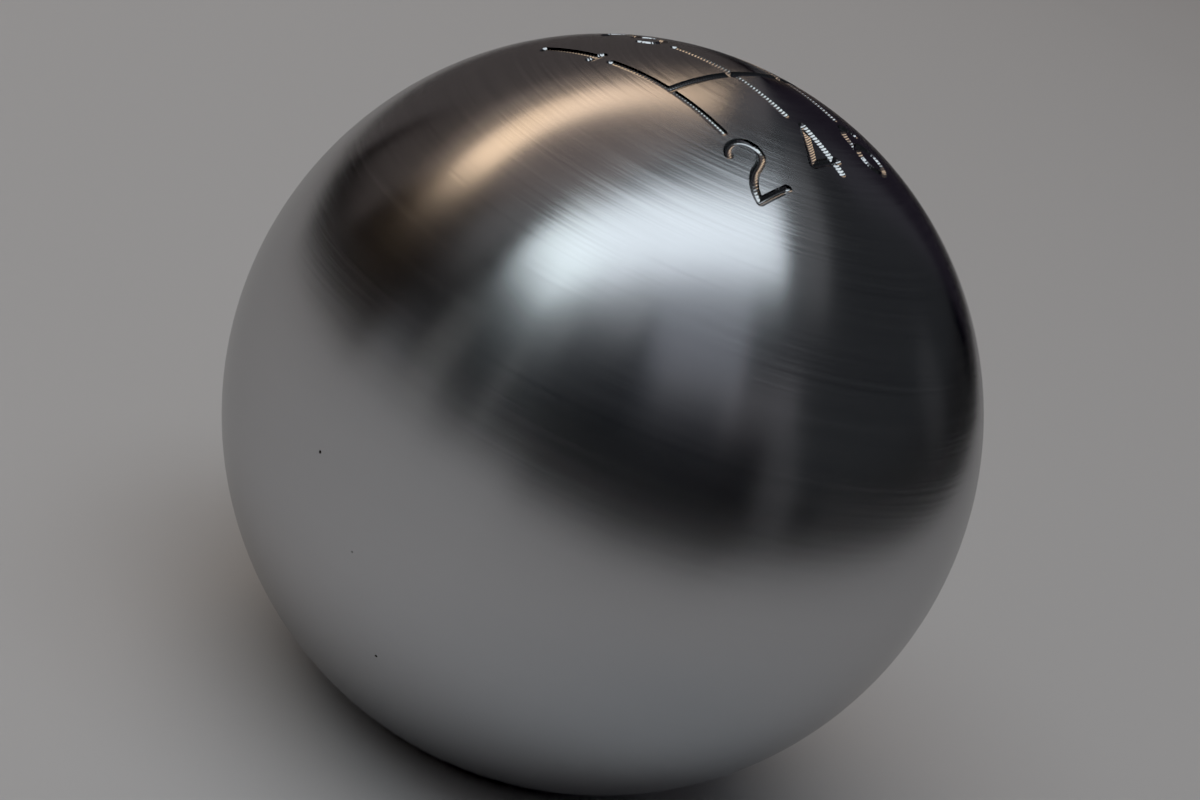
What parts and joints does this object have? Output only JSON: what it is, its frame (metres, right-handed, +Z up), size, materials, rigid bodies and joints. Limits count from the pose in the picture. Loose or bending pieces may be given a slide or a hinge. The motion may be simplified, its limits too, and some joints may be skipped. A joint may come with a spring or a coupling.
{
  "type": "gear shift knob",
  "caption": "Ball gear shift knob turned from brushed stainless steel, with an engraved gate on its crown and a blind tapped lever hole in its flat foot.",
  "frame": {"origin": "centre of the flat foot, on the axis of the ball and of the lever hole", "axes": "+Z up along the ball's axis, +Y forwards in the car, towards the row of first, third and fifth gear"},
  "size_m": [0.05, 0.05, 0.0479],
  "materials": {
    "brushed_ball": "satin, brushed round the upright axis, with bright cut engraving"
  },
  "bodies": {
    "root": {"knob": "brushed_ball"}
  },
  "joints": []
}
